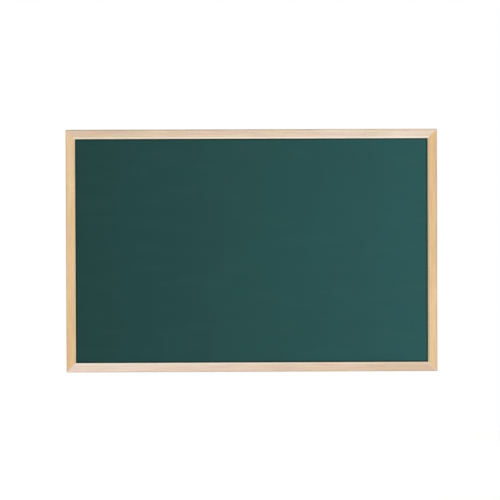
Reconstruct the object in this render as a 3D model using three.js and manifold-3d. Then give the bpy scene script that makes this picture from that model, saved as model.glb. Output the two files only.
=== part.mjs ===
// A framed green chalkboard that hangs on a wall. Four mitred wooden members hold a writing sheet,
// a core and a backing in their rebate, steel points keep the backing in, and two strap hangers with
// swinging D rings sit on the backs of the stiles, between rubber bumpers that meet the wall.
// Millimetres. X runs to the right and Z up. The wall is the plane y = 0 and the writing sheet faces
// -Y. The origin is the middle of the board's outline, on the wall.

import * as THREE from 'three';
import { mergeVertices } from 'three/addons/utils/BufferGeometryUtils.js';
import Module from 'manifold-3d';

const wasm = await Module();
wasm.setup();

// Driving dimensions
const boardWidth = 918;
const boardHeight = 600;
const faceWidth = 23; // a frame member, seen from the front
const frameDepth = 20;
const wallGap = 5; // the bumpers hold the frame this far off the wall
const gap = 0.3; // between pieces that touch

// The frame member's section: across runs from its outer edge inwards, depth from its front face
const outerRound = 2;
const bevelWidth = 4.5;
const bevelDrop = 2;
const lipDepth = 5; // front face to the rebate that the sheet lies in
const rebateWidth = 7;
const backWidth = faceWidth - rebateWidth;
const arcSteps = 6;

// The panel in the rebate, from the front to the back
const panelClearance = 1; // round its edges
const sheetThickness = 0.5;
const coreThickness = 6;
const backingThickness = 2.5;

// Steel points that are driven into the rebate's wall and lie over the backing
const pointWidth = 10;
const pointThickness = 0.6;
const pointInWood = 7;
const pointOverBacking = 9;
const pointCorner = 3;
const pointsPerRail = 4;
const pointsPerStile = 3;

// V nails across each mitre, pressed in from behind
const nailThickness = 0.7;
const nailLeg = 6;
const nailDepth = 10;
const nailSunk = 0.3; // below the frame's back
const nailSpots = { outer: 5.5, inner: 12.5 }; // its corner, in from both outer edges

// Strap hangers: a steel strip folded round the ring's straight side
const hangerDrop = 150; // top edge to the ring's hinge
const stripThickness = 0.8;
const stripWidth = 10;
const stripLength = 34; // hinge to the lower end
const stripSlit = 0.2; // between the strip's two layers
const neckRadius = 1.5; // where the outer layer turns in under the eye
const wireRadius = 1;
const wireClearance = 0.2; // in the strip's eye
const ringHalfWidth = 7; // to the middle of the wire
const ringDrop = 12; // hinge to the middle of the wire at the ring's far end
const ringCorner = 2.2;
const ringEndGap = 0.4; // the bent wire's two ends, inside the eye
const ringRestTilt = 6.6; // degrees that the ring leans out over the strip when it hangs

// Round-headed screws
const screwDrops = { upper: 18.5, lower: 28 }; // below the ring's hinge
const screwLength = 11;
const screwTip = 4;
const shankRadius = 1.4;
const headRadius = 3;
const headHeight = 1.7;
const crossWidth = 0.8;
const crossLength = 3.2;
const crossDepth = 1.1;

// Rubber bumpers
const bumperRadius = 6;
const bumperRound = 1.2;
const bumperInset = 48; // from the frame's side, along the rail

// Places that follow from them
const frameBack = -wallGap;
const frameFront = frameBack - frameDepth;
const halfWidth = boardWidth / 2;
const halfHeight = boardHeight / 2;
const eyeInner = wireRadius + wireClearance;
const eyeOuter = eyeInner + stripThickness;
const hingeY = frameBack + gap + eyeOuter;
const hingeZ = halfHeight - hangerDrop;
const stripTop = hingeY - eyeInner + stripSlit + stripThickness; // the outer layer's outer side
const mitreInset = (gap / 2) * Math.SQRT2;
const sheetFront = frameFront + lipDepth + gap;
const coreFront = sheetFront + sheetThickness + gap;
const backingFront = coreFront + coreThickness + gap;
const pointFront = backingFront + backingThickness + gap;
const overcut = 1; // how far a cutter stands out of the face that it enters

const degrees = Math.PI / 180;
const board = new THREE.Group();

function finish(colour, roughness, metalness) {
  return new THREE.MeshStandardMaterial({ color: colour, roughness, metalness });
}

function add(name, geometry, material, place = new THREE.Vector3()) {
  const mesh = new THREE.Mesh(geometry, material);
  mesh.name = name;
  mesh.position.copy(place);
  board.add(mesh);
  return mesh;
}

// Booleans

function toSolid(geometry, x = 0, y = 0, z = 0) {
  const bare = geometry.clone();
  bare.deleteAttribute('normal');
  bare.deleteAttribute('uv');
  bare.translate(x, y, z);
  const merged = mergeVertices(bare, 1e-4);
  return new wasm.Manifold(new wasm.Mesh({
    numProp: 3,
    vertProperties: new Float32Array(merged.attributes.position.array),
    triVerts: new Uint32Array(merged.index.array),
  }));
}

function toGeometry(solid) {
  const mesh = solid.getMesh();
  const geometry = new THREE.BufferGeometry();
  geometry.setAttribute('position', new THREE.BufferAttribute(mesh.vertProperties, 3));
  geometry.setIndex(new THREE.BufferAttribute(mesh.triVerts, 1));
  geometry.computeVertexNormals();
  return geometry;
}

function cut(geometry, cutters) {
  let solid = toSolid(geometry);
  for (const cutter of cutters) {
    solid = solid.subtract(cutter);
  }
  return toGeometry(solid);
}

// An outline drawn in X and Z, given its thickness from its own plane towards -Y
function plate(outline, thickness, curveSegments = arcSteps) {
  const geometry = new THREE.ExtrudeGeometry(outline, {
    depth: thickness,
    bevelEnabled: false,
    curveSegments,
  });
  return geometry.rotateX(Math.PI / 2);
}

// Corner V nails: an L whose corner points at the frame's upper right corner

function nailGeometry(grow, depth) {
  const half = nailThickness / 2 + grow;
  const leg = nailLeg + grow;
  const outline = new THREE.Shape();
  outline.moveTo(half, half);
  outline.lineTo(-leg, half);
  outline.lineTo(-leg, -half);
  outline.lineTo(-half, -half);
  outline.lineTo(-half, -leg);
  outline.lineTo(half, -leg);
  outline.closePath();
  return plate(outline, depth);
}

function nailSlots(halfLength, reach) {
  const slots = [];
  const slot = nailGeometry(gap, nailDepth + nailSunk + gap + overcut);
  for (const inset of Object.values(nailSpots)) {
    slots.push(toSolid(slot, halfLength - inset, frameBack + overcut, reach - inset));
    const mirrored = slot.clone().rotateY(-Math.PI / 2);
    slots.push(toSolid(mirrored, inset - halfLength, frameBack + overcut, reach - inset));
  }
  return slots;
}

// Frame members, drawn as the top rail: along runs on X, the outer edge is at z = reach

function memberBlank(length, reach) {
  const outline = new THREE.Shape();
  outline.moveTo(0, frameDepth);
  outline.lineTo(0, outerRound);
  outline.absarc(outerRound, outerRound, outerRound, Math.PI, Math.PI * 1.5, false);
  outline.lineTo(faceWidth - bevelWidth, 0);
  outline.lineTo(faceWidth, bevelDrop);
  outline.lineTo(faceWidth, lipDepth);
  outline.lineTo(backWidth, lipDepth);
  outline.lineTo(backWidth, frameDepth);
  outline.closePath();
  const blank = new THREE.ExtrudeGeometry(outline, {
    depth: 1,
    bevelEnabled: false,
    curveSegments: arcSteps,
  });
  const corners = blank.attributes.position;
  for (let i = 0; i < corners.count; i += 1) {
    const across = corners.getX(i);
    const depth = corners.getY(i);
    const end = corners.getZ(i) > 0.5 ? 1 : -1;
    const halfLength = length / 2 - across - mitreInset; // the ends are cut at 45 degrees
    corners.setXYZ(i, end * halfLength, frameFront + depth, reach - across);
  }
  return blank;
}

function pointSlot(along, reach) {
  const height = pointInWood + gap + overcut;
  const slot = new THREE.BoxGeometry(pointWidth + 2 * gap, pointThickness + 2 * gap, height);
  const middle = reach - backWidth - overcut + height / 2;
  return toSolid(slot, along, pointFront + pointThickness / 2, middle);
}

function pilotHole(along, reach) {
  const depth = screwLength + gap + overcut;
  const hole = new THREE.CylinderGeometry(shankRadius + gap, shankRadius + gap, depth, 16);
  const middle = frameBack + overcut - depth / 2;
  return toSolid(hole, along, middle, reach - backWidth / 2);
}

function memberGeometry(length, reach, pointSpots, screwSpots) {
  const cutters = nailSlots(length / 2, reach);
  for (const along of pointSpots) {
    cutters.push(pointSlot(along, reach));
  }
  for (const along of screwSpots) {
    cutters.push(pilotHole(along, reach));
  }
  return cut(memberBlank(length, reach), cutters);
}

// Places spread evenly along a member, the end ones half a space from its ends
function spread(length, count) {
  const space = length / count;
  return Array.from({ length: count }, (_, i) => (i + 0.5) * space - length / 2);
}

// Points over the backing, drawn at the top rail
function pointGeometry() {
  const half = pointWidth / 2;
  const inner = -pointOverBacking;
  const outline = new THREE.Shape();
  outline.moveTo(0, pointInWood);
  outline.lineTo(-half, pointInWood - half);
  outline.lineTo(-half, inner + pointCorner);
  outline.absarc(pointCorner - half, inner + pointCorner, pointCorner, Math.PI, Math.PI * 1.5, false);
  outline.absarc(half - pointCorner, inner + pointCorner, pointCorner, Math.PI * 1.5, 0, false);
  outline.lineTo(half, pointInWood - half);
  outline.closePath();
  return plate(outline, pointThickness);
}

function buildFrame() {
  const screwSpots = Object.values(screwDrops).map((drop) => hingeZ - drop);
  const rails = spread(boardWidth, pointsPerRail);
  const stiles = spread(boardHeight, pointsPerStile);
  const sides = [
    { name: 'top_rail', short: 'top', turn: 0, points: rails, screws: [] },
    { name: 'right_stile', short: 'right', turn: 1, points: stiles, screws: screwSpots.map((z) => -z) },
    { name: 'bottom_rail', short: 'bottom', turn: 2, points: rails, screws: [] },
    { name: 'left_stile', short: 'left', turn: 3, points: stiles, screws: screwSpots },
  ];
  for (const side of sides) {
    const upright = side.turn % 2 === 1;
    const length = upright ? boardHeight : boardWidth;
    const reach = upright ? halfWidth : halfHeight;
    const member = new THREE.Group();
    member.rotation.y = (side.turn * Math.PI) / 2;
    board.add(member);
    const geometry = memberGeometry(length, reach, side.points, side.screws);
    const wood = add(side.name, geometry, finish('#dcc09a', 0.6, 0));
    member.add(wood);
    side.points.forEach((along, i) => {
      const place = new THREE.Vector3(along, pointFront + pointThickness, reach - backWidth);
      const name = `backing_point_${side.short}_${i + 1}`;
      const point = add(name, pointGeometry(), finish('#8f9294', 0.4, 0.9), place);
      member.add(point);
    });
  }
}

function buildCornerNails() {
  const corners = [
    { name: 'top_right', x: 1, z: 1, turn: 0 },
    { name: 'bottom_right', x: 1, z: -1, turn: 1 },
    { name: 'bottom_left', x: -1, z: -1, turn: 2 },
    { name: 'top_left', x: -1, z: 1, turn: 3 },
  ];
  for (const corner of corners) {
    for (const [spot, inset] of Object.entries(nailSpots)) {
      const x = corner.x * (halfWidth - inset);
      const z = corner.z * (halfHeight - inset);
      const place = new THREE.Vector3(x, frameBack - nailSunk, z);
      const geometry = nailGeometry(0, nailDepth);
      const nail = add(`corner_nail_${corner.name}_${spot}`, geometry, finish('#86898b', 0.45, 0.9), place);
      nail.rotation.y = (corner.turn * Math.PI) / 2;
    }
  }
}

function buildPanel() {
  const width = boardWidth - 2 * (backWidth + panelClearance);
  const height = boardHeight - 2 * (backWidth + panelClearance);
  const layers = [
    ['writing_sheet', sheetFront, sheetThickness, finish('#2a4f4c', 0.6, 0)],
    ['core_board', coreFront, coreThickness, finish('#b79b74', 0.9, 0)],
    ['backing_board', backingFront, backingThickness, finish('#6f4c33', 0.8, 0)],
  ];
  for (const [name, front, thickness, material] of layers) {
    const place = new THREE.Vector3(0, front + thickness / 2, 0);
    add(name, new THREE.BoxGeometry(width, thickness, height), material, place);
  }
}

// Hangers

// The strip's side view in Y and Z about the hinge: up the wood side, round the eye, and back down
function stripProfile() {
  const half = stripThickness / 2;
  const eyeMiddle = eyeInner + half;
  const outerLayer = stripTop - hingeY - half;
  const neckCos = (outerLayer + neckRadius) / (eyeMiddle + neckRadius);
  const neck = Math.acos(neckCos);
  const neckY = (eyeMiddle + neckRadius) * neckCos;
  const neckZ = -(eyeMiddle + neckRadius) * Math.sin(neck);
  const profile = new THREE.Shape();
  profile.moveTo(-eyeOuter, -stripLength);
  profile.lineTo(-eyeOuter, 0);
  profile.absarc(0, 0, eyeOuter, Math.PI, -neck, true);
  profile.absarc(neckY, neckZ, neckRadius - half, Math.PI - neck, Math.PI, false);
  profile.lineTo(outerLayer + half, -stripLength);
  profile.lineTo(outerLayer - half, -stripLength);
  profile.absarc(neckY, neckZ, neckRadius + half, Math.PI, Math.PI - neck, true);
  profile.absarc(0, 0, eyeInner, -neck, Math.PI, false);
  profile.lineTo(-eyeInner, -stripLength);
  profile.closePath();
  return profile;
}

function strapGeometry() {
  const folded = new THREE.ExtrudeGeometry(stripProfile(), {
    depth: stripWidth,
    bevelEnabled: false,
    curveSegments: 10,
  });
  // From the profile's X, Y and depth to the board's Y, Z and X
  folded.applyMatrix4(new THREE.Matrix4().set(
    0, 0, 1, -stripWidth / 2,
    1, 0, 0, 0,
    0, 1, 0, 0,
    0, 0, 0, 1,
  ));
  const half = stripWidth / 2;
  const plan = new THREE.Shape();
  plan.moveTo(-half, eyeOuter + overcut);
  plan.lineTo(-half, half - stripLength);
  plan.absarc(0, half - stripLength, half, Math.PI, Math.PI * 2, false);
  plan.lineTo(half, eyeOuter + overcut);
  plan.closePath();
  const reach = eyeOuter + overcut;
  let strap = toSolid(folded).intersect(toSolid(plate(plan, 2 * reach), 0, reach, 0));
  const hole = new THREE.CylinderGeometry(shankRadius + gap, shankRadius + gap, 2 * reach, 16);
  for (const drop of Object.values(screwDrops)) {
    strap = strap.subtract(toSolid(hole, 0, 0, -drop));
  }
  return toGeometry(strap);
}

// The bent wire's middle line, hanging from the hinge at its own origin
class RingLine extends THREE.Curve {
  constructor() {
    super();
    const sideEnd = ringHalfWidth - ringDrop;
    const round = ringHalfWidth - ringCorner;
    this.outline = new THREE.Path();
    this.outline.moveTo(ringEndGap / 2, 0);
    this.outline.lineTo(round, 0);
    this.outline.absarc(round, -ringCorner, ringCorner, Math.PI / 2, 0, true);
    this.outline.lineTo(ringHalfWidth, sideEnd);
    this.outline.absarc(0, sideEnd, ringHalfWidth, 0, -Math.PI, true);
    this.outline.lineTo(-ringHalfWidth, -ringCorner);
    this.outline.absarc(-round, -ringCorner, ringCorner, Math.PI, Math.PI / 2, true);
    this.outline.lineTo(-ringEndGap / 2, 0);
  }

  getPoint(t, target = new THREE.Vector3()) {
    const spot = this.outline.getPointAt(t);
    return target.set(spot.x, 0, spot.y);
  }
}

function ringGeometry() {
  const section = new THREE.Shape();
  section.absarc(0, 0, wireRadius, 0, Math.PI * 2, false);
  return new THREE.ExtrudeGeometry(section, {
    extrudePath: new RingLine(),
    steps: 44,
    curveSegments: 10,
    bevelEnabled: false,
  });
}

// Drawn with the head's underside at y = 0 and the shank towards -Y
function screwGeometry() {
  const profile = new THREE.Path();
  profile.moveTo(0, -screwLength);
  profile.lineTo(shankRadius, screwTip - screwLength);
  profile.lineTo(shankRadius, 0);
  profile.lineTo(headRadius, 0);
  profile.quadraticCurveTo(headRadius, headHeight, 0, headHeight);
  const body = new THREE.LatheGeometry(profile.getPoints(arcSteps), 20);
  const bar = new THREE.BoxGeometry(crossLength, 2 * crossDepth, crossWidth);
  const crossBar = bar.clone().rotateY(Math.PI / 2);
  return cut(body, [toSolid(bar, 0, headHeight, 0), toSolid(crossBar, 0, headHeight, 0)]);
}

function buildHangers() {
  for (const [side, sign] of [['left', -1], ['right', 1]]) {
    const x = sign * (halfWidth - backWidth / 2);
    const hinge = new THREE.Vector3(x, hingeY, hingeZ);
    add(`${side}_hanger_strap`, strapGeometry(), finish('#a9a48f', 0.35, 0.9), hinge);
    const ring = add(`${side}_hanger_ring`, ringGeometry(), finish('#b4b3ab', 0.25, 0.95), hinge);
    ring.rotation.x = ringRestTilt * degrees;
    for (const [spot, drop] of Object.entries(screwDrops)) {
      const place = new THREE.Vector3(x, stripTop + gap, hingeZ - drop);
      add(`${side}_hanger_screw_${spot}`, screwGeometry(), finish('#b7ab80', 0.3, 0.9), place);
    }
  }
}

function buildBumpers() {
  const profile = new THREE.Path();
  profile.moveTo(0, frameBack + gap);
  profile.lineTo(bumperRadius, frameBack + gap);
  profile.lineTo(bumperRadius, -bumperRound);
  profile.absarc(bumperRadius - bumperRound, -bumperRound, bumperRound, 0, Math.PI / 2, false);
  profile.lineTo(0, 0);
  const points = profile.getPoints(4);
  for (const [row, up] of [['top', 1], ['bottom', -1]]) {
    for (const [side, sign] of [['left', -1], ['right', 1]]) {
      const x = sign * (halfWidth - bumperInset);
      const place = new THREE.Vector3(x, 0, up * (halfHeight - backWidth / 2));
      const rubber = new THREE.LatheGeometry(points, 28);
      add(`bumper_${row}_${side}`, rubber, finish('#3a3a39', 0.85, 0), place);
    }
  }
}

buildFrame();
buildCornerNails();
buildPanel();
buildHangers();
buildBumpers();

export default board;
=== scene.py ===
import math
from functools import partial

import bmesh
import bpy
import numpy as np
from mathutils import Matrix, Vector


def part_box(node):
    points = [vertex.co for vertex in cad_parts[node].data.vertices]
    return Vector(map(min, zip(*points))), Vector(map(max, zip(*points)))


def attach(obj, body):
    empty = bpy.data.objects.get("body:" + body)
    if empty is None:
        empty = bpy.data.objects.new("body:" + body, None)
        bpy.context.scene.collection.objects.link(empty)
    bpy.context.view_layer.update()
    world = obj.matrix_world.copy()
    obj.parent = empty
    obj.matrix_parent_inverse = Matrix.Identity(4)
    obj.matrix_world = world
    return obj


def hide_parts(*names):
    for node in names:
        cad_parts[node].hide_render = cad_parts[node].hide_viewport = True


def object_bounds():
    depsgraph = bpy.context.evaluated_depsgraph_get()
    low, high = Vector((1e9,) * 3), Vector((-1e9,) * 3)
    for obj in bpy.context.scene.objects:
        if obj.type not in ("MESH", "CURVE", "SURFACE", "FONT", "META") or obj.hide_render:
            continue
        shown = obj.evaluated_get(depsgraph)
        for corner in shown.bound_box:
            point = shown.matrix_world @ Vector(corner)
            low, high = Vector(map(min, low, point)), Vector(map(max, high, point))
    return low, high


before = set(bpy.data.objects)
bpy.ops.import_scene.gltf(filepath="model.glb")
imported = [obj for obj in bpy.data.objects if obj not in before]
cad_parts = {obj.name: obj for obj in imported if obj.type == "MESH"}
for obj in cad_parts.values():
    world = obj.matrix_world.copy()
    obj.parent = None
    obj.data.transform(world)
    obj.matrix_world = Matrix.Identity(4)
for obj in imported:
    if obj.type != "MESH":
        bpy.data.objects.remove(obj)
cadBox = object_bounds()
print("frame loaded:", len(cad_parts), "nodes")


viewpoint = {
    "distance": 3.2,  # metres from the front of the frame
    "metresAcross": 1.2362,  # of the board's plane, side to side of the picture
    "aside": -0.35,  # degrees; the camera stands a little to the left of square
    "above": 0.5,  # degrees
    "roll": -0.21,  # degrees
    "aimX": -0.0044,
    "aimZ": 0.0016,
}


def placeCamera(frontY):
    lens = bpy.data.cameras.new("camera")
    lens.sensor_width = 36
    lens.lens = lens.sensor_width * viewpoint["distance"] / viewpoint["metresAcross"]
    lens.dof.use_dof = False
    camera = bpy.data.objects.new("camera", lens)
    bpy.context.scene.collection.objects.link(camera)
    aside, above, roll = (math.radians(viewpoint[key]) for key in ("aside", "above", "roll"))
    aim = Vector((viewpoint["aimX"], frontY, viewpoint["aimZ"]))
    away = Vector((math.sin(aside) * math.cos(above), -math.cos(aside) * math.cos(above), math.sin(above)))
    camera.location = aim + viewpoint["distance"] * away
    turn = Matrix.Rotation(aside, 4, "Z") @ Matrix.Rotation(math.pi / 2 - above, 4, "X")
    camera.rotation_euler = (turn @ Matrix.Rotation(roll, 4, "Z")).to_euler()
    bpy.context.scene.camera = camera


placeCamera(cadBox[0].y)
print("camera placed")


creaseAngle = 32  # degrees; a sharper edge than this shows as one
cutterReach = 0.001  # how far a cutter stands out of the face that it enters


def makeForm(name, points, faces, sharpAngle=creaseAngle):
    mesh = bpy.data.meshes.new(name)
    mesh.from_pydata(np.asarray(points).reshape(-1, 3).tolist(), [], faces)
    shell = bmesh.new()
    shell.from_mesh(mesh)
    bmesh.ops.recalc_face_normals(shell, faces=shell.faces)  # outwards
    shell.to_mesh(mesh)
    shell.free()
    mesh.shade_smooth()
    mesh.set_sharp_from_angle(angle=math.radians(sharpAngle))
    form = bpy.data.objects.new(name, mesh)
    bpy.context.scene.collection.objects.link(form)
    return form


def placePiece(piece, finish, node, body):
    # gives a finished form its material, body and slot, and hides the CAD node that it stands for
    piece.data.materials.append(finish)
    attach(piece, body)
    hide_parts(node)


def cutAway(piece, cutters):
    # takes the cutters' shapes out of the piece for good, and clears the cutters away
    for cutter in cutters:
        modifier = piece.modifiers.new("cut", "BOOLEAN")
        modifier.operation = "DIFFERENCE"
        modifier.solver = "EXACT"
        modifier.object = cutter
    whole = piece.evaluated_get(bpy.context.evaluated_depsgraph_get())
    mesh = bpy.data.meshes.new_from_object(whole)
    piece.modifiers.clear()
    piece.data = mesh
    mesh.set_sharp_from_angle(angle=math.radians(creaseAngle))
    for cutter in cutters:
        bpy.data.objects.remove(cutter)


def ringQuads(rings, around):
    # joins each ring of points to the next with quads, point by point
    ring = np.arange(around)
    after = np.roll(ring, -1)
    first = (np.arange(rings - 1) * around)[:, None]
    quads = np.stack([first + ring, first + after, first + around + after, first + around + ring], -1)
    return quads.reshape(-1, 4).tolist()


def sweptFaces(rings, around):
    # the quads, and one flat face over each end ring
    ring = np.arange(around)
    return ringQuads(rings, around) + [ring[::-1].tolist(), (ring + (rings - 1) * around).tolist()]


def lathedFaces(rings, around):
    # the quads, and a fan from each end ring to its pole, the last two points
    ring = np.arange(around)
    after = np.roll(ring, -1)
    start, last = rings * around, (rings - 1) * around
    bottom = np.stack([np.full(around, start), after, ring], 1)
    top = np.stack([np.full(around, start + 1), ring + last, after + last], 1)
    return ringQuads(rings, around) + bottom.tolist() + top.tolist()


def roundCorners(corners, radii, steps, shoulder=0.0):
    # Each corner becomes an arc that touches both of its edges: the arc starts radius * tan(half the
    # turn) before the corner and swings round a centre one radius to the side, by the turn's angle.
    # A point on each edge, a shoulder's length beyond the arc, stands before and after it.
    corners = np.asarray(corners, float)
    radii = np.asarray(radii, float)[:, None]
    into = corners - np.roll(corners, 1, 0)
    into /= np.linalg.norm(into, axis=1, keepdims=True)
    out = np.roll(into, -1, 0)
    turn = np.arctan2(into[:, 0] * out[:, 1] - into[:, 1] * out[:, 0], (into * out).sum(1))[:, None]
    reach = radii * np.tan(np.abs(turn) / 2)
    side = np.stack([-into[:, 1], into[:, 0]], 1) * np.sign(turn)
    centre = corners - into * reach + side * radii
    swing = turn * np.linspace(0, 1, steps)
    spokeX = side[:, :1] * np.cos(swing) - side[:, 1:] * np.sin(swing)
    spokeY = side[:, :1] * np.sin(swing) + side[:, 1:] * np.cos(swing)
    arcs = centre[:, None] - radii[:, None] * np.stack([spokeX, spokeY], -1)
    before = corners - into * (reach + shoulder)
    after = corners + out * (reach + shoulder)
    return np.concatenate([before[:, None], arcs, after[:, None]], 1)


def arcPoints(centre, radius, start, end, steps=40):
    # centre plus radius times cosine and sine, from the start angle to the end angle in degrees
    angle = np.radians(np.linspace(start, end, steps))
    return np.stack([centre[0] + radius * np.cos(angle), centre[1] + radius * np.sin(angle)], 1)


def runLengths(corners):
    # how far along the polyline each of its corners is
    return np.concatenate([[0], np.cumsum(np.linalg.norm(np.diff(corners, axis=0), axis=1))])


def placesAlong(corners, spots):
    # the points of the polyline at those distances from its start
    run = runLengths(corners)
    return np.stack([np.interp(spots, run, corners[:, 0]), np.interp(spots, run, corners[:, 1])], 1)


def stripSection(halfWidths, thickness, arris, steps=4):
    # a rectangle, as wide as each station asks, whose corners are quarter circles of radius arris
    corner = np.repeat([[1, 1], [-1, 1], [-1, -1], [1, -1]], steps, 0)
    angle = np.radians((np.arange(4)[:, None] * 90 + np.linspace(0, 90, steps)).ravel())
    wide = corner[:, 0] * (halfWidths[:, None] - arris) + arris * np.cos(angle)
    thick = corner[:, 1] * (thickness / 2 - arris) + arris * np.sin(angle)
    return np.broadcast_to(thick, wide.shape), wide


def carrySection(path, section, axes, origin):
    # Each station of a flat path gets its section: thick goes along the path's left-hand normal and
    # wide along the third axis. axes holds the path's own two directions and that third one.
    thick, wide = section
    ahead = np.gradient(path, axis=0)
    ahead /= np.linalg.norm(ahead, axis=1, keepdims=True)
    normal = np.stack([-ahead[:, 1], ahead[:, 0]], 1)
    flat = path[:, None] + normal[:, None] * thick[..., None]
    axes = np.asarray(axes, float)
    return np.asarray(origin) + flat @ axes[:2] + wide[..., None] * axes[2]


def lathePoints(profile, around, origin):
    # the profile holds radius and height up the Y axis, from pole to pole; each point of it between
    # the poles goes round a circle
    profile = np.asarray(profile, float)
    angle = np.linspace(0, 2 * np.pi, around, endpoint=False)
    radius, height = profile[1:-1, 0][:, None], profile[1:-1, 1][:, None]
    rings = np.stack([radius * np.cos(angle), height + 0 * angle, radius * np.sin(angle)], -1)
    poles = np.array([[0, profile[0, 1], 0], [0, profile[-1, 1], 0]])
    return np.concatenate([rings.reshape(-1, 3), poles]) + np.asarray(origin)


def quarterTurns(points, turns):
    # turns about the Y axis carry the top rail's place round to the other members
    c, s = round(math.cos(turns * math.pi / 2)), round(math.sin(turns * math.pi / 2))
    x, y, z = np.moveaxis(np.asarray(points, float), -1, 0)
    return np.stack([x * c + z * s, y, z * c - x * s], -1)


def linear(hexColour):
    # sRGB hex to linear: a straight line near black, and a power of 2.4 above it
    parts = np.array([int(hexColour[i:i + 2], 16) for i in (1, 3, 5)]) / 255
    parts = np.where(parts <= 0.04045, parts / 12.92, ((parts + 0.055) / 1.055) ** 2.4)
    return (*parts.tolist(), 1.0)


def addNode(tree, kind, inputs=None, output=0, **settings):
    node = tree.nodes.new("ShaderNode" + kind)
    for name, value in settings.items():
        setattr(node, name, value)
    for socket, value in (inputs or {}).items():
        if isinstance(value, bpy.types.NodeSocket):
            tree.links.new(value, node.inputs[socket])
        else:
            node.inputs[socket].default_value = value
    return node.outputs[output]


# a colour Mix takes its share at 0 and its two colours at 6 and 7, and gives the result at 2
blend = {"data_type": "RGBA", "blend_type": "MIX"}
multiply = {"data_type": "RGBA", "blend_type": "MULTIPLY"}
waveScale = math.pi / 10  # over a pitch in metres; a wave goes through 20 radians for each unit


def startMaterial(name, **constants):
    # returns the material, a function that adds a node to it, and the Object coordinates
    material = bpy.data.materials.new(name)
    material.use_nodes = True
    shader = material.node_tree.nodes["Principled BSDF"]
    for socket, value in constants.items():
        shader.inputs[socket.replace("_", " ")].default_value = value
    add = partial(addNode, material.node_tree)
    return material, add, add("TexCoord", output="Object")


def finishMaterial(material, colour, roughness, height, depth, strength):
    # depth is the relief's real height in metres, and strength how much of it shows
    tree = material.node_tree
    bump = addNode(tree, "Bump", {"Height": height, "Distance": depth, "Strength": strength})
    for socket, value in {"Base Color": colour, "Roughness": roughness, "Normal": bump}.items():
        tree.links.new(value, tree.nodes["Principled BSDF"].inputs[socket])
    return material


# Radiata pine, planed, sanded and given one thin coat of clear satin lacquer: pale straw and pinkish
# bands run along each member, with soft darker late wood, fine broken fibre and a low even sheen.
wood = {
    "ringSpacing": 0.0048,  # plantation pine grows wide rings
    "wander": 0.005,  # how far the rings stray along a member
    "strayLength": 0.07,
    "lateWood": 0.3,  # how strongly each ring's dark side shows
    "streakDepth": 0.4,
    "bumpDepth": 0.00006,
    "sawPitch": 0.003,  # a bandsaw's marks across the back
    "patterns": {  # size across the grain in metres, stretch, detail
        "streaks": (0.0035, (0.06, 1, 1), 3.0),
        "bands": (0.007, (0.05, 1, 1), 2.0),
        "fibre": (0.0006, (0.025, 1, 1), 2.0),  # about three times too coarse, so that it shows
        "flecks": (0.0012, (0.12, 1, 1), 1.0),
        "patches": (0.11, (1, 3, 3), 3.0),
    },
}
# start and end are the left and right of a rail, or the bottom and top of a stile; the pith is so far
# to the side of the member and behind it
# the bevel tones are painted light on the rails and painted shade on the stiles, and the edge tones are
# painted shade on the outer round, darkest on the top rail
woodTones = {
    "top_rail": {"start": "#dac8b2", "end": "#e6d9ce",
                 "bevelLightShade": ("#e9dfc9", "#f4ecdb"), "edge": ("#8c7862", "#c2ae94"), "pith": (0.075, 0.03)},
    "bottom_rail": {"start": "#eaddd5", "end": "#d7c3ae",
                    "bevelLightShade": ("#f1e8d8", "#e6d5bf"), "edge": ("#c4ae96", "#b39c82"), "pith": (-0.09, 0.035)},
    "left_stile": {"start": "#e0c196", "end": "#e5cca5",
                   "bevelLightShade": ("#cfbb8e", "#d0be98"), "edge": ("#b39167", "#c8a67a"), "pith": (0.06, 0.05)},
    "right_stile": {"start": "#e5cba3", "end": "#dec092",
                    "bevelLightShade": ("#bfb08f", "#cab590"), "edge": ("#c49f70", "#b38a5c"), "pith": (0.085, 0.025)},
}
turnsOf = {"top_rail": 0, "right_stile": 1, "bottom_rail": 2, "left_stile": 3}
boardHalf = (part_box("right_stile")[1].x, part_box("top_rail")[1].z)


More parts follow.
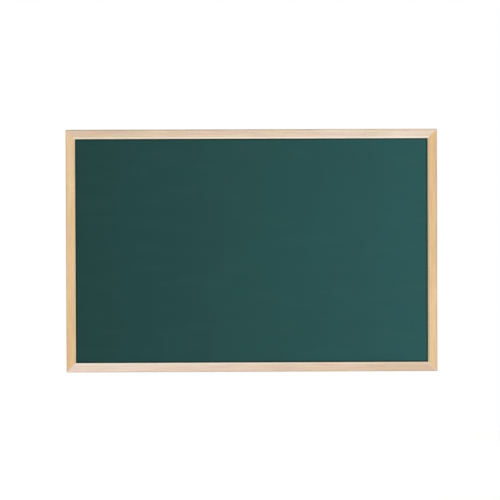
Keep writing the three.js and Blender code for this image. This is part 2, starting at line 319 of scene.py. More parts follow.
def pineMaterial(name):
    material, add, place = startMaterial("lacqueredPine_" + name, IOR=1.5)
    tone, upright = woodTones[name], turnsOf[name] % 2
    # in the plank's space the grain runs along X and the pith line is the X axis
    middle = (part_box(name)[0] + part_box(name)[1]) / 2
    fromPith = (1.7 * turnsOf[name], tone["pith"][1] - middle.y,
                tone["pith"][0] + (middle.x if upright else -middle.z))
    turned = (0, upright * math.pi / 2, 0)
    plank = add("Mapping", {"Vector": place, "Rotation": turned, "Location": fromPith})
    noise = {}
    for key, (size, stretch, detail) in wood["patterns"].items():
        drawn = add("Mapping", {"Vector": plank, "Scale": stretch})
        noise[key] = add("TexNoise", {"Vector": drawn, "Scale": 1 / size, "Detail": detail,
                                      "Roughness": 0.55})

    # rings: the distance from the pith, which strays slowly, over the spacing; each darkens to its end
    slow = add("Mapping", {"Vector": plank, "Scale": (0.25, 1, 1)})
    stray = add("TexNoise", {"Vector": slow, "Scale": 1 / wood["strayLength"], "Detail": 2.0}, "Color")
    stray = add("VectorMath", {0: stray, 1: (0.5, 0.5, 0.5)}, operation="SUBTRACT")
    moved = add("VectorMath", {0: stray, 1: (wood["wander"],) * 3, 2: plank}, operation="MULTIPLY_ADD")
    across = add("VectorMath", {0: moved, 1: (0, 1, 1)}, operation="MULTIPLY")
    radius = add("VectorMath", {0: across}, "Value", operation="LENGTH")
    year = add("Math", {0: radius, 1: wood["ringSpacing"]}, operation="DIVIDE")
    year = add("Math", {0: year}, operation="FRACT")
    darker = add("Math", {0: year, 1: 2.2}, operation="POWER")
    stop = add("MapRange", {"Value": year, "From Min": 0.93, "From Max": 1.0, "To Min": 1.0, "To Max": 0.0})
    rings = add("Math", {0: darker, 1: stop}, operation="MULTIPLY")

    # from one end's tone to the other's, straw in one band and pink in the next
    axes = add("SeparateXYZ", {0: place}).node.outputs
    span = boardHalf[upright] * 0.85
    run = add("MapRange", {"Value": axes[2 * upright], "From Min": -span, "From Max": span})
    base = add("Mix", {0: run, 6: linear(tone["start"]), 7: linear(tone["end"])}, 2, **blend)
    straw = add("Mix", {0: 1.0, 6: base, 7: linear("#fffdf0")}, 2, **multiply)
    pink = add("Mix", {0: 1.0, 6: base, 7: linear("#fff6f4")}, 2, **multiply)
    band = add("MapRange", {"Value": noise["bands"], "From Min": 0.4, "From Max": 0.6},
               interpolation_type="SMOOTHSTEP")
    colour = add("Mix", {0: band, 6: straw, 7: pink}, 2, **blend)
    dark = add("Mix", {0: 1.0, 6: colour, 7: linear("#e3cdb6")}, 2, **multiply)
    streak = add("MapRange", {"Value": noise["streaks"], "From Min": 0.35, "From Max": 0.75,
                              "To Max": wood["streakDepth"]})
    depth = add("Math", {0: rings, 1: wood["lateWood"], 2: streak}, operation="MULTIPLY_ADD")
    colour = add("Mix", {0: depth, 6: colour, 7: dark}, 2, **blend)
    for key, spread in {"fibre": 0.045, "patches": 0.05}.items():
        level = add("MapRange", {"Value": noise[key], "From Min": 0.3, "From Max": 0.7,
                                 "To Min": 1.005 - spread, "To Max": 1.005 + spread})
        colour = add("Mix", {0: 1.0, 6: colour, 7: level}, 2, **multiply)
    fleck = add("MapRange", {"Value": noise["flecks"], "From Min": 0.66, "From Max": 0.74, "To Max": 0.35},
                interpolation_type="SMOOTHSTEP")
    colour = add("Mix", {0: fleck, 6: colour, 7: linear("#b48a63")}, 2, **blend)

    # the bevel gets painted light on the rails and painted shade on the stiles, the arrises are rubbed
    # paler, the outer round gets painted shade, and the back is left as it was sawn
    bevelLightShade, arris, outer, sawn = (add("Attribute", output="Fac", attribute_name=key)
                                 for key in ("bevelLightShade", "arris", "outer", "sawn"))
    bevelLitShadedWood = add("Mix", {0: run, 6: linear(tone["bevelLightShade"][0]), 7: linear(tone["bevelLightShade"][1])}, 2, **blend)
    level = add("MapRange", {"Value": noise["streaks"], "From Min": 0.3, "From Max": 0.7,
                             "To Min": 1.04, "To Max": 0.94})
    bevelLitShadedWood = add("Mix", {0: 1.0, 6: bevelLitShadedWood, 7: level}, 2, **multiply)
    share = add("Math", {0: bevelLightShade, 1: 0.85}, operation="MULTIPLY")
    colour = add("Mix", {0: share, 6: colour, 7: bevelLitShadedWood}, 2, **blend)
    rubbed = add("MapRange", {"Value": noise["patches"], "From Min": 0.5, "From Max": 0.65, "To Max": 0.3},
                 interpolation_type="SMOOTHSTEP")
    share = add("Math", {0: arris, 1: rubbed}, operation="MULTIPLY")
    colour = add("Mix", {0: share, 6: colour, 7: linear("#f3e7d2")}, 2, **blend)
    # painted shade on the outer round, in the edge tones, broken up by patches
    edgeShadeShare = add("MapRange", {"Value": noise["patches"], "From Min": 0.35, "From Max": 0.65,
                               "To Min": 0.85, "To Max": 0.55})
    share = add("Math", {0: outer, 1: edgeShadeShare}, operation="MULTIPLY")
    edgeShadeTone = add("Mix", {0: run, 6: linear(tone["edge"][0]), 7: linear(tone["edge"][1])}, 2, **blend)
    colour = add("Mix", {0: share, 6: colour, 7: edgeShadeTone}, 2, **blend)

    # end grain drinks the lacquer, so a pale sliver shows beside each mitre
    sizeX, sizeZ = (add("Math", {0: axes[i]}, operation="ABSOLUTE") for i in (0, 2))
    offMitre = add("Math", {0: sizeX, 1: sizeZ}, operation="SUBTRACT")
    offMitre = add("Math", {0: offMitre, 1: boardHalf[1] - boardHalf[0]}, operation="ADD")
    offMitre = add("Math", {0: offMitre}, operation="ABSOLUTE")
    near = add("MapRange", {"Value": offMitre, "From Min": 0.0006, "From Max": 0.0034, "To Min": 1.0,
                            "To Max": 0.0}, interpolation_type="SMOOTHSTEP")
    uneven = add("MapRange", {"Value": noise["streaks"], "From Min": 0.4, "From Max": 0.6,
                              "To Min": 0.2, "To Max": 0.75}, interpolation_type="SMOOTHSTEP")
    sliver = add("Math", {0: near, 1: uneven}, operation="MULTIPLY")
    colour = add("Mix", {0: sliver, 6: colour, 7: linear("#f3d9c2")}, 2, **blend)
    share = add("Math", {0: sawn, 1: 0.35}, operation="MULTIPLY")
    colour = add("Mix", {0: share, 6: colour, 7: linear("#e6d3b4")}, 2, **blend)

    sheen = add("MapRange", {"Value": noise["fibre"], "From Min": 0.3, "From Max": 0.7,
                             "To Min": 0.44, "To Max": 0.58})
    roughness = add("Math", {0: sawn, 1: 0.25, 2: sheen}, operation="MULTIPLY_ADD")
    teeth = add("TexWave", {"Vector": plank, "Scale": waveScale / wood["sawPitch"], "Distortion": 1.5,
                            "Detail": 1.0, "Detail Scale": 20.0}, "Fac", bands_direction="X")
    teeth = add("Math", {0: teeth, 1: sawn}, operation="MULTIPLY")
    height = add("Math", {0: rings, 1: -0.5, 2: noise["fibre"]}, operation="MULTIPLY_ADD")
    height = add("Math", {0: teeth, 1: 0.8, 2: height}, operation="MULTIPLY_ADD")
    return finishMaterial(material, colour, roughness, height, wood["bumpDepth"], 0.6)


moulding = {
    "outerRound": 0.002,
    "backArris": 0.0007,
    "bevelWidth": 0.0045,
    "bevelDrop": 0.002,
    "bevelArris": 0.0006,
    "sightArris": 0.0008,
    "lipArris": 0.0003,
    "panelClearance": 0.001,
    "sheetClearance": 0.0003,
    "mitreGap": 0.0003,
    "arcSteps": 6,
    "shoulder": 0.0008,
    "stations": 90,
}
frameFront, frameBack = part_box("top_rail")[0].y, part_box("top_rail")[1].y
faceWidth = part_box("top_rail")[1].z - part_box("top_rail")[0].z
backWidth = boardHalf[0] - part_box("writing_sheet")[1].x - moulding["panelClearance"]


def mouldingProfile():
    # across from the outer edge and depth from the front face, corner by corner from the outer back,
    # and at each point how far the surface is arris, bevel, outer corner and sawn back
    depth = frameBack - frameFront
    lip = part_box("writing_sheet")[0].y - moulding["sheetClearance"] - frameFront
    corners = [
        (0, depth), (0, 0), (faceWidth - moulding["bevelWidth"], 0),
        (faceWidth, moulding["bevelDrop"]), (faceWidth, lip), (backWidth, lip), (backWidth, depth),
    ]
    radii = [moulding[key] for key in ("backArris", "outerRound", "bevelArris", "sightArris",
                                       "lipArris", "lipArris", "backArris")]
    outline = roundCorners(corners, radii, moulding["arcSteps"], moulding["shoulder"])
    perCorner = outline.shape[1]
    none, full = np.zeros(perCorner), np.ones(perCorner)
    arc = np.concatenate([[0], np.ones(perCorner - 2), [0]])
    rise = np.concatenate([[0], np.linspace(0, 1, perCorner - 2), [1]])
    late = np.concatenate([rise[:-1] * 0.4, [1]])
    values = {
        "arris": [arc, arc, arc, arc, none, none, arc],
        "bevelLightShade": [none, none, late, rise[::-1], none, none, none],
        "outer": [none, arc, none, none, none, none, none],
        "sawn": [rise[::-1], none, none, none, rise, full, full],
    }
    return outline.reshape(-1, 2), {key: np.concatenate(value) for key, value in values.items()}


def buildMember(name, slots):
    outline, values = mouldingProfile()
    upright, stations = turnsOf[name] % 2, moulding["stations"]
    inset = moulding["mitreGap"] / 2 * math.sqrt(2)
    # the profile is carried along the member; each of its lines is cut at 45 degrees by being shorter
    # by its own distance from the outer edge
    share = np.linspace(-1, 1, stations)[:, None]
    along = share * (boardHalf[upright] - outline[:, 0] - inset)
    across = boardHalf[1 - upright] - outline[:, 0] + 0 * along
    points = np.stack([along, frameFront + outline[:, 1] + 0 * along, across], -1)
    points = quarterTurns(points, turnsOf[name])
    member = makeForm("pine_" + name, points, sweptFaces(stations, len(outline)))
    for key, value in values.items():
        layer = member.data.attributes.new(key, "FLOAT", "POINT")
        layer.data.foreach_set("value", np.tile(value, stations).astype(np.float32))
    cutAway(member, [makeForm("slot", *slot) for slot in slots])
    placePiece(member, pineMaterial(name), name, "root")


# Steel sheet with a baked green chalk coat: a deep blue green, dead matt, with a fine tooth that the chalk
# bites on, painted light that makes it a little paler to the right, painted shade in a band along the frame,
# and the faint clouds that a dry felt leaves.
chalk = {
    "left": "#183e3c",
    "right": "#245352",
    "edge": "#12241e",
    "edgeShadeWidth": 0.005,  # a band of painted shade in the edge colour, along the frame under its lip
    "cloudSize": 0.11,
    "wipeSize": 0.038,
    "toothSize": 0.0012,  # about six times too coarse, so that it shows
}


def chalkMaterial():
    material, add, place = startMaterial("greenChalkCoat", IOR=1.5, Specular_IOR_Level=0.16)
    axes = add("SeparateXYZ", {0: place}).node.outputs
    halfWide, halfHigh = boardHalf[0] - faceWidth, boardHalf[1] - faceWidth
    # painted light: the coat's colour ramps paler to the right, as the light falls across the sheet
    lightRampShare = add("MapRange", {"Value": axes[0], "From Min": -halfWide, "From Max": halfWide})
    colour = add("Mix", {0: lightRampShare, 6: linear(chalk["left"]), 7: linear(chalk["right"])}, 2, **blend)
    cloudy = add("Mapping", {"Vector": place, "Scale": (1, 1, 0.7)})
    clouds = add("TexNoise", {"Vector": cloudy, "Scale": 1 / chalk["cloudSize"], "Detail": 4.0,
                              "Roughness": 0.6})
    tooth = add("TexNoise", {"Vector": place, "Scale": 1 / chalk["toothSize"], "Detail": 3.0,
                             "Roughness": 0.7})
    for value, spread in ((clouds, 0.05), (tooth, 0.07)):
        level = add("MapRange", {"Value": value, "From Min": 0.3, "From Max": 0.7,
                                 "To Min": 1 - spread, "To Max": 1 + spread})
        colour = add("Mix", {0: 1.0, 6: colour, 7: level}, 2, **multiply)
    strokes = add("Mapping", {"Vector": place, "Scale": (0.35, 1, 1.6), "Location": (4, 0, 2)})
    dust = add("TexNoise", {"Vector": strokes, "Scale": 1 / chalk["wipeSize"], "Detail": 3.0,
                            "Roughness": 0.6})
    dust = add("MapRange", {"Value": dust, "From Min": 0.45, "From Max": 0.75, "To Max": 0.008},
               interpolation_type="SMOOTHSTEP")
    colour = add("Mix", {0: dust, 6: colour, 7: linear("#9db3ab")}, 2, **blend)
    sizeX, sizeZ = (add("Math", {0: axes[i]}, operation="ABSOLUTE") for i in (0, 2))
    fromSide = add("Math", {0: halfWide, 1: sizeX}, operation="SUBTRACT")
    fromTop = add("Math", {0: halfHigh, 1: sizeZ}, operation="SUBTRACT")
    fromEdge = add("Math", {0: fromSide, 1: fromTop}, operation="MINIMUM")
    # painted shade: a dark band along the frame, where its lip shades the sheet
    borderShadeShare = add("MapRange", {"Value": fromEdge, "From Max": chalk["edgeShadeWidth"], "To Min": 0.9,
                               "To Max": 0.0}, interpolation_type="SMOOTHSTEP")
    colour = add("Mix", {0: borderShadeShare, 6: colour, 7: linear(chalk["edge"])}, 2, **blend)
    roughness = add("MapRange", {"Value": clouds, "From Min": 0.3, "From Max": 0.7,
                                 "To Min": 0.7, "To Max": 0.8})
    return finishMaterial(material, colour, roughness, tooth, 0.00005, 0.5)


# Corrugated fibreboard, cut with a knife: soft brown paper, with its flutes just showing.
core = {"light": "#c3a67c", "dark": "#a98a61", "flutePitch": 0.0075, "fluffSize": 0.0008}


def coreMaterial():
    material, add, place = startMaterial("corrugatedFibre", IOR=1.5)
    flutes = add("TexWave", {"Vector": place, "Scale": waveScale / core["flutePitch"], "Distortion": 0.6},
                 "Fac", bands_direction="X")
    fluff = add("TexNoise", {"Vector": place, "Scale": 1 / core["fluffSize"], "Detail": 2.0})
    colour = add("Mix", {0: flutes, 6: linear(core["dark"]), 7: linear(core["light"])}, 2, **blend)
    level = add("MapRange", {"Value": fluff, "From Min": 0.3, "From Max": 0.7,
                             "To Min": 0.9, "To Max": 1.08})
    colour = add("Mix", {0: 1.0, 6: colour, 7: level}, 2, **multiply)
    roughness = add("MapRange", {"Value": fluff, "To Min": 0.85, "To Max": 0.95})
    return finishMaterial(material, colour, roughness, fluff, 0.0001, 0.4)


# Tempered hardboard, screen side out: pressed dark brown fibre with the press screen's mesh in it.
hardboard = {
    "dark": "#5f4029",
    "light": "#86603f",
    "fleck": "#a9835c",
    "screenPitch": 0.0024,  # a real screen is about 1.5 mm, drawn coarser so that it shows
    "fibreSize": 0.004,
    "fleckSize": 0.0014,
    "patchSize": 0.11,
}


def hardboardMaterial():
    material, add, place = startMaterial("screenBackHardboard", IOR=1.5)
    axes = add("SeparateXYZ", {0: place}).node.outputs
    wires = []
    for i in (0, 2):
        angle = add("Math", {0: axes[i], 1: 2 * math.pi / hardboard["screenPitch"]}, operation="MULTIPLY")
        wires.append(add("Math", {0: angle}, operation="SINE"))
    screen = add("Math", {0: wires[0], 1: wires[1]}, operation="MULTIPLY")
    matted = add("Mapping", {"Vector": place, "Scale": (1, 1, 0.6)})
    fibre = add("TexNoise", {"Vector": matted, "Scale": 1 / hardboard["fibreSize"], "Detail": 4.0,
                             "Roughness": 0.7})
    patches = add("TexNoise", {"Vector": place, "Scale": 1 / hardboard["patchSize"], "Detail": 3.0,
                               "Roughness": 0.6})
    drawn = add("Mapping", {"Vector": place, "Scale": (1, 1, 0.3), "Location": (5, 1, 2)})
    flecks = add("TexNoise", {"Vector": drawn, "Scale": 1 / hardboard["fleckSize"], "Detail": 1.0})
    share = add("MapRange", {"Value": fibre, "From Min": 0.3, "From Max": 0.7})
    colour = add("Mix", {0: share, 6: linear(hardboard["dark"]), 7: linear(hardboard["light"])}, 2, **blend)
    share = add("MapRange", {"Value": flecks, "From Min": 0.64, "From Max": 0.74, "To Max": 0.5},
                interpolation_type="SMOOTHSTEP")
    colour = add("Mix", {0: share, 6: colour, 7: linear(hardboard["fleck"])}, 2, **blend)
    for value, low, high, darkest, lightest in ((patches, 0.3, 0.7, 0.9, 1.08),
                                                (screen, -1.0, 1.0, 0.93, 1.05)):
        level = add("MapRange", {"Value": value, "From Min": low, "From Max": high,
                                 "To Min": darkest, "To Max": lightest})
        colour = add("Mix", {0: 1.0, 6: colour, 7: level}, 2, **multiply)
    roughness = add("MapRange", {"Value": fibre, "From Min": 0.3, "From Max": 0.7,
                                 "To Min": 0.66, "To Max": 0.82})
    height = add("Math", {0: screen, 1: 0.35, 2: fibre}, operation="MULTIPLY_ADD")
    return finishMaterial(material, colour, roughness, height, 0.00018, 0.7)


def dressNode(name, material):
    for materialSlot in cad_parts[name].material_slots:
        materialSlot.material = material


dressNode("writing_sheet", chalkMaterial())
dressNode("core_board", coreMaterial())
dressNode("backing_board", hardboardMaterial())
print("sheet, core and backing dressed")


# Plated steel keeps the sheet's or the wire's drawn lines under a thin bright coat, which mottles:
# zinc is a soft blue grey, nickel warm and bright, and yellow passivation a thin gold.
plating = {
    "brightZincPlate": {"colours": ("#a7a9aa", "#c3c5c3"), "roughness": 0.34, "mottle": 0.004},
    "bluedSpringSteel": {"colours": ("#85898d", "#a3a6a8"), "roughness": 0.38, "mottle": 0.006},
    "nickelPlatedWire": {"colours": ("#bdb9ae", "#d3d0c6"), "roughness": 0.2, "mottle": 0.005},
    "yellowPassivatedZinc": {"colours": ("#b99a55", "#cdbb84"), "roughness": 0.3, "mottle": 0.003},
}
drawnLine = 0.0004  # about four times too coarse, so that it shows


def platedMaterial(name):
    material, add, place = startMaterial(name, Metallic=1.0)
    plate = plating[name]
    patches = add("TexNoise", {"Vector": place, "Scale": 1 / plate["mottle"], "Detail": 3.0,
                               "Roughness": 0.6})
    drawn = add("Mapping", {"Vector": place, "Scale": (1, 1, 0.06)})
    lines = add("TexNoise", {"Vector": drawn, "Scale": 1 / drawnLine, "Detail": 2.0, "Roughness": 0.6})
    share = add("MapRange", {"Value": patches, "From Min": 0.3, "From Max": 0.7})
    dark, light = map(linear, plate["colours"])
    colour = add("Mix", {0: share, 6: dark, 7: light}, 2, **blend)
    dull = add("MapRange", {"Value": patches, "From Min": 0.3, "From Max": 0.7,
                            "To Min": plate["roughness"] - 0.05, "To Max": plate["roughness"] + 0.08})
    scratched = add("MapRange", {"Value": lines, "From Min": 0.3, "From Max": 0.7,
                                 "To Min": -0.06, "To Max": 0.08})
    roughness = add("Math", {0: dull, 1: scratched}, operation="ADD")
    return finishMaterial(material, colour, roughness, lines, 0.00001, 0.35)


# Moulded black rubber: dull charcoal with a fine matt skin and a slight grey bloom.
rubber = {"dark": "#2b2b2a", "bloom": "#403f3d", "skinSize": 0.0004, "bloomSize": 0.0055}


def rubberMaterial():
    material, add, place = startMaterial("mouldedRubber", IOR=1.5)
    skin = add("TexNoise", {"Vector": place, "Scale": 1 / rubber["skinSize"], "Detail": 2.0,
                            "Roughness": 0.6})
    bloom = add("TexNoise", {"Vector": place, "Scale": 1 / rubber["bloomSize"], "Detail": 3.0,
                             "Roughness": 0.6})
    share = add("MapRange", {"Value": bloom, "From Min": 0.35, "From Max": 0.7})
    colour = add("Mix", {0: share, 6: linear(rubber["dark"]), 7: linear(rubber["bloom"])}, 2, **blend)
    roughness = add("MapRange", {"Value": skin, "From Min": 0.3, "From Max": 0.7,
                                 "To Min": 0.62, "To Max": 0.8})
    return finishMaterial(material, colour, roughness, skin, 0.00004, 0.5)


finishes = {name: platedMaterial(name) for name in plating}
finishes["mouldedRubber"] = rubberMaterial()
print("metal and rubber finishes made")


nail = {
    "thickness": 0.0007,
    "leg": 0.006,
    "bend": 0.0009,
    "arris": 0.00015,
    "insets": {"outer": 0.0055, "inner": 0.0125},  # its corner, in from both outer edges
    "slotGrow": 0.00012,
    "slotDepth": 0.0012,
}
cornerTurns = {"top_right": 0, "bottom_right": 1, "bottom_left": 2, "top_left": 3}


def nailForm(corner, inset, low, high, grow):
    # a strip that stands on edge along an L with a rounded bend; its width is the nail's depth
    leg = nail["leg"] + grow
    bend = roundCorners([(-leg, 0), (0, 0), (0, -leg)], [0, nail["bend"], 0], 10)[1][1:-1]
    path = np.concatenate([[(-leg, 0)], bend, [(0, -leg)]])
    halfWidths = np.full(len(path), (high - low) / 2)
    section = stripSection(halfWidths, nail["thickness"] + 2 * grow, nail["arris"])
    axes = [(1, 0, 0), (0, 0, 1), (0, 1, 0)]
    points = quarterTurns(carrySection(path, section, axes, (0, (high + low) / 2, 0)), cornerTurns[corner])
    x = (boardHalf[0] - inset) * (1 if "right" in corner else -1)
    z = (boardHalf[1] - inset) * (1 if "top" in corner else -1)
    return points + np.array([x, 0, z]), sweptFaces(*section[1].shape)


def buildNails():
    # returns the shallow slots that the nails sit in, by corner
    slots = {corner: [] for corner in cornerTurns}
    for corner in cornerTurns:
        for spot, inset in nail["insets"].items():
            node = f"corner_nail_{corner}_{spot}"
            low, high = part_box(node)[0].y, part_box(node)[1].y
            piece = makeForm(f"v_nail_{corner}_{spot}", *nailForm(corner, inset, low, high, 0))
            placePiece(piece, finishes["brightZincPlate"], node, "root")
            deep = frameBack - nail["slotDepth"]
            slots[corner].append(nailForm(corner, inset, deep, frameBack + cutterReach, nail["slotGrow"]))
    return slots


nailSlots = buildNails()
for name in turnsOf:
    side = name.split("_")[0]
    buildMember(name, [slot for corner in nailSlots if side in corner for slot in nailSlots[corner]])
print("frame members and corner nails built")


point = {
    "halfWidth": 0.005,
    "tip": 0.005,
    "corner": 0.003,
    "arris": 0.00012,
    "lift": 0.0007,
    "liftRun": 0.005,
}


def buildPoint(node):
    # drawn at the top rail: from a sharp tip in the wood to a free end with round corners, whose last
    # stretch curls up off the backing as the square of the distance
    side, number = node.split("_")[2:]
    turns = ["top", "right", "bottom", "left"].index(side)
    low, high = np.sort(quarterTurns(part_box(node), -turns), axis=0)
    length, thickness = high[2] - low[2], high[1] - low[1]
    bend = np.radians(np.linspace(8, 90, 12))
    spots = np.concatenate([np.linspace(0, length - point["corner"], 30),
                            length - point["corner"] * (1 - np.sin(bend))])
    left = np.clip(length - spots, 0, point["corner"])
    rounded = np.sqrt(np.maximum(point["corner"] ** 2 - (point["corner"] - left) ** 2, 0))
    square = point["halfWidth"] - point["corner"] + rounded
    pointed = point["arris"] + spots / point["tip"] * point["halfWidth"]
    halfWidths = np.clip(np.minimum(square, pointed), point["arris"], point["halfWidth"])
    curl = np.clip((spots - length) / point["liftRun"] + 1, 0, 1)
    path = np.stack([-spots, curl ** 2 * point["lift"]], 1)
    section = stripSection(halfWidths, thickness, point["arris"])
    origin = ((low[0] + high[0]) / 2, (low[1] + high[1]) / 2, high[2])
    points = carrySection(path, section, [(0, 0, 1), (0, 1, 0), (1, 0, 0)], origin)
    points = quarterTurns(points, turns)
    piece = makeForm(f"framing_point_{side}_{number}", points, sweptFaces(*section[1].shape))
    placePiece(piece, finishes["bluedSpringSteel"], node, "root")


for node in sorted(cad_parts):
    if node.startswith("backing_point"):
        buildPoint(node)
print("backing points driven")


hanger = {
    "strip": 0.0008,
    "slit": 0.0002,  # between the folded strip's two layers
    "neckRadius": 0.0015,
    "arris": 0.00018,
    "holeRadius": 0.0017,
    "holeReach": 0.004,  # each way from the hinge line, through both layers
    "strapStep": 0.0004,
    "wireStep": 0.0003,
    "wire": 0.001,
    "ringHalfWidth": 0.007,
    "ringDrop": 0.012,
    "ringCorner": 0.0022,
    "ringEndGap": 0.0004,
    "ringTilt": 6.6,  # degrees
    "nick": 0.00015,  # off the wire's cut ends
    "screwDrops": {"upper": 0.0185, "lower": 0.028},
}


def strapPath(stripLength, eyeOuter):
    # up the wood side, round the eye, back in by the neck and down over the first layer
    middle = eyeOuter - hanger["strip"] / 2
    outer = -(middle - hanger["strip"] - hanger["slit"])
    neckReach = middle + hanger["neckRadius"]
    turnIn = math.acos((outer + hanger["neckRadius"]) / neckReach)
    neck = (neckReach * math.cos(turnIn), -neckReach * math.sin(turnIn))
    down = math.degrees(turnIn)
    return np.concatenate([
        [(-middle, -stripLength)],
        arcPoints((0, 0), middle, 180, -down),
        arcPoints(neck, hanger["neckRadius"], 180 - down, 180)[1:],
        [(outer, -stripLength)],
    ])


def buildStrap(side):
    node = side + "_hanger_strap"
    low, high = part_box(node)
    eyeOuter = (high.y - low.y) / 2
    hinge = np.array([(low.x + high.x) / 2, (low.y + high.y) / 2, high.z - eyeOuter])
    half, arris = (high.x - low.x) / 2, hanger["arris"]
    corners = strapPath(hinge[2] - low.z, eyeOuter)
    total = runLengths(corners)[-1]
    # both ends are half circles in plan, so stations crowd towards them
    endSpots = half * (1 - np.cos(np.radians(np.linspace(0, 88, 16))))
    middle = np.arange(half + hanger["strapStep"] / 2, total - half, hanger["strapStep"])
    spots = np.concatenate([endSpots, middle, total - endSpots[::-1]])
    toEnd = np.minimum(np.minimum(spots, total - spots), half)
    halfWidths = np.maximum(np.sqrt(np.maximum(half ** 2 - (half - toEnd) ** 2, 0)), arris * 1.05)
    section = stripSection(halfWidths, hanger["strip"], arris)
    axes = [(0, 1, 0), (0, 0, 1), (1, 0, 0)]
    points = carrySection(placesAlong(corners, spots), section, axes, hinge)
    piece = makeForm(side + "_strap_hanger", points, sweptFaces(*section[1].shape))
    reach, radius = hanger["holeReach"], hanger["holeRadius"]
    hole = [(0, -reach), (radius, -reach), (radius, reach), (0, reach)]
    cutAway(piece, [makeForm("hole", lathePoints(hole, 32, hinge - (0, 0, drop)), lathedFaces(2, 32))
                    for drop in hanger["screwDrops"].values()])
    placePiece(piece, finishes["brightZincPlate"], node, "root")
    return hinge


def buildRing(side, hinge):
    # one round wire bent to a D, whose two cut ends meet inside the strap's eye
    half, drop, bend = hanger["ringHalfWidth"], hanger["ringDrop"], hanger["ringCorner"]
    corners = np.concatenate([
        [(hanger["ringEndGap"] / 2, 0)],
        arcPoints((half - bend, -bend), bend, 90, 0, 20),
        arcPoints((0, half - drop), half, 0, -180, 80),
        arcPoints((bend - half, -bend), bend, 180, 90, 20),
        [(-hanger["ringEndGap"] / 2, 0)],
    ])
    total, nick = runLengths(corners)[-1], hanger["nick"]
    middle = np.arange(2 * nick, total - 2 * nick, hanger["wireStep"])
    spots = np.concatenate([[0, nick], middle, [total - nick, total]])
    radius = hanger["wire"] - nick * ((spots < nick / 2) | (spots > total - nick / 2))
    angle = np.linspace(0, 2 * np.pi, 24, endpoint=False)
    section = radius[:, None] * np.cos(angle), radius[:, None] * np.sin(angle)
    tilt = math.radians(hanger["ringTilt"])
    axes = [(1, 0, 0), (0, -math.sin(tilt), math.cos(tilt)), (0, math.cos(tilt), math.sin(tilt))]
    points = carrySection(placesAlong(corners, spots), section, axes, hinge)
    piece = makeForm(side + "_d_ring", points, sweptFaces(*section[1].shape), sharpAngle=50)
    placePiece(piece, finishes["nickelPlatedWire"], side + "_hanger_ring", side + "_ring")


screw = {
    "shank": 0.0014,
    "tip": 0.004,
    "head": 0.003,
    "headArris": 0.00015,
    "headHeight": 0.0017,
    "rim": 0.0004,
    "cross": 0.00085,
    "crossReach": 0.0017,
    "crossDepth": 0.0011,
    "crossTaper": (1.15, 0.85, 0.5),  # its size above the crown, half way down and at its foot
    "seat": 0.0003,  # how far it is driven on down to the strap
}


def screwProfile(tipY, seatY):
    # point, shank, flat underside, a short rim and an elliptical crown
    head, rim = screw["head"], screw["rim"]
    crown = np.radians(np.linspace(0, 90, 14))
    dome = np.stack([head * np.cos(crown), seatY + rim + (screw["headHeight"] - rim) * np.sin(crown)], 1)
    dome[-1, 0] = 0
    start = [(0, tipY), (screw["shank"], tipY + screw["tip"]), (screw["shank"], seatY),
             (head - screw["headArris"], seatY), (head, seatY + screw["headArris"])]
    return np.concatenate([start, dome])


def crossForm(x, z, topY):
    # a plus sign, narrower at its foot than at its mouth
    a, b = screw["cross"] / 2, screw["crossReach"]
    plus = np.array([(a, b), (a, a), (b, a), (b, -a), (a, -a), (a, -b),
                     (-a, -b), (-a, -a), (-b, -a), (-b, a), (-a, a), (-a, b)])
    heights = topY + np.array([cutterReach / 2, -screw["crossDepth"] / 2, -screw["crossDepth"]])[:, None]
    rings = plus[None] * np.array(screw["crossTaper"])[:, None, None]
    points = np.stack([x + rings[..., 0], heights + 0 * rings[..., 0], z + rings[..., 1]], -1)
    return makeForm("cross", points, sweptFaces(3, 12))


def buildScrews(side):
    for spot in hanger["screwDrops"]:
        node = f"{side}_hanger_screw_{spot}"
        low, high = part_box(node)
        x, z = (low.x + high.x) / 2, (low.z + high.z) / 2
        seatY = high.y - screw["headHeight"] - screw["seat"]
        profile = screwProfile(low.y, seatY)
        points = lathePoints(profile, 48, (x, 0, z))
        piece = makeForm(f"{side}_round_screw_{spot}", points, lathedFaces(len(profile) - 2, 48))
        cutAway(piece, [crossForm(x, z, seatY + screw["headHeight"])])
        placePiece(piece, finishes["yellowPassivatedZinc"], node, "root")


for side in ("left", "right"):
    hinge = buildStrap(side)
    buildRing(side, hinge)
    buildScrews(side)
print("hangers hung")


bumper = {"round": 0.0012, "dish": 0.0005, "dishRadius": 0.0026}


def buildBumper(node):
    # a puck with a rounded rim and a shallow dish, whose floor falls from lip to middle as half a cosine
    low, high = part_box(node)
    radius, soft = (high.x - low.x) / 2, bumper["round"]
    edge = np.radians(np.linspace(0, 90, 10))
    rim = np.stack([radius - soft * (1 - np.cos(edge)), high.y - soft * (1 - np.sin(edge))], 1)
    reach = np.linspace(1, 0, 10)
    dish = np.stack([bumper["dishRadius"] * reach,
                     high.y - bumper["dish"] * (1 + np.cos(np.pi * reach)) / 2], 1)
    profile = np.concatenate([[(0, frameBack), (radius, frameBack)], rim, dish])
    points = lathePoints(profile, 64, ((low.x + high.x) / 2, 0, (low.z + high.z) / 2))
    piece = makeForm("rubber_" + node, points, lathedFaces(len(profile) - 2, 64), sharpAngle=50)
    placePiece(piece, finishes["mouldedRubber"], node, "root")


for node in sorted(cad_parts):
    if node.startswith("bumper"):
        buildBumper(node)
print("bumpers stuck on")


studio = {
    "floorDrop": 0.6,  # below the board's lower edge, as it hangs on a wall
    "floorHalf": 3.0,
    "floorGlow": 0.3,  # lit from beneath, so that its far edge is faint
    "paperTooth": 0.0033,
    "surround": 0.5,
    "softboxes": {
        "key": {"place": (-1.1, -3.6, 1.9), "size": 2.2, "power": 43.7},
        "fill": {"place": (2.0, -3.2, 0.5), "size": 2.2, "power": 30.1},
        "rear": {"place": (-0.8, 3.2, 1.8), "size": 2.4, "power": 55},
    },
}


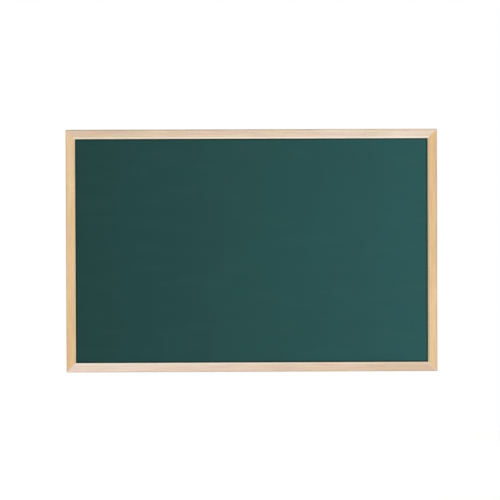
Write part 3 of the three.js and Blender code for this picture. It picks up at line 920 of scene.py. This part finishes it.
def paperMaterial():
    # matt white studio paper with a slight tooth
    material, add, place = startMaterial("mattStudioPaper", IOR=1.5, Emission_Color=(1, 1, 1, 1),
                                         Emission_Strength=studio["floorGlow"])
    tooth = add("TexNoise", {"Vector": place, "Scale": 1 / studio["paperTooth"], "Detail": 3.0})
    share = add("MapRange", {"Value": tooth, "From Min": 0.3, "From Max": 0.7})
    colour = add("Mix", {0: share, 6: linear("#f2f1ef"), 7: linear("#f6f5f3")}, 2, **blend)
    roughness = add("MapRange", {"Value": tooth, "To Min": 0.85, "To Max": 0.95})
    return finishMaterial(material, colour, roughness, tooth, 0.0002, 0.2)


def layFloor():
    half, level = studio["floorHalf"], cadBox[0].z - studio["floorDrop"]
    corners = [(-half, -half, level), (half, -half, level), (half, half, level), (-half, half, level)]
    mesh = bpy.data.meshes.new("floor")
    mesh.from_pydata(corners, [], [(0, 1, 2, 3)])
    mesh.materials.append(paperMaterial())
    floor = bpy.data.objects.new("floor", mesh)
    bpy.context.scene.collection.objects.link(floor)


def addSoftbox(name, place, size, power):
    light = bpy.data.lights.new(name, "AREA")
    light.shape = "SQUARE"
    light.size = size
    light.energy = power
    box = bpy.data.objects.new(name, light)
    bpy.context.scene.collection.objects.link(box)
    box.location = place
    box.rotation_euler = (-Vector(place)).to_track_quat("-Z", "Y").to_euler()


def lightWorld():
    # plain white for the camera, and a softer white for what it lights
    world = bpy.data.worlds.new("studio")
    bpy.context.scene.world = world
    world.use_nodes = True
    add = partial(addNode, world.node_tree)
    seen = add("LightPath", output="Is Camera Ray")
    strength = add("MapRange", {"Value": seen, "To Min": studio["surround"], "To Max": 1.0})
    background = world.node_tree.nodes["Background"]
    background.inputs["Color"].default_value = (1, 1, 1, 1)
    world.node_tree.links.new(strength, background.inputs["Strength"])


layFloor()
for name, softbox in studio["softboxes"].items():
    addSoftbox(name, **softbox)
lightWorld()
bpy.context.scene.view_settings.view_transform = "Standard"
bpy.context.scene.view_settings.look = "None"
print("studio lit")
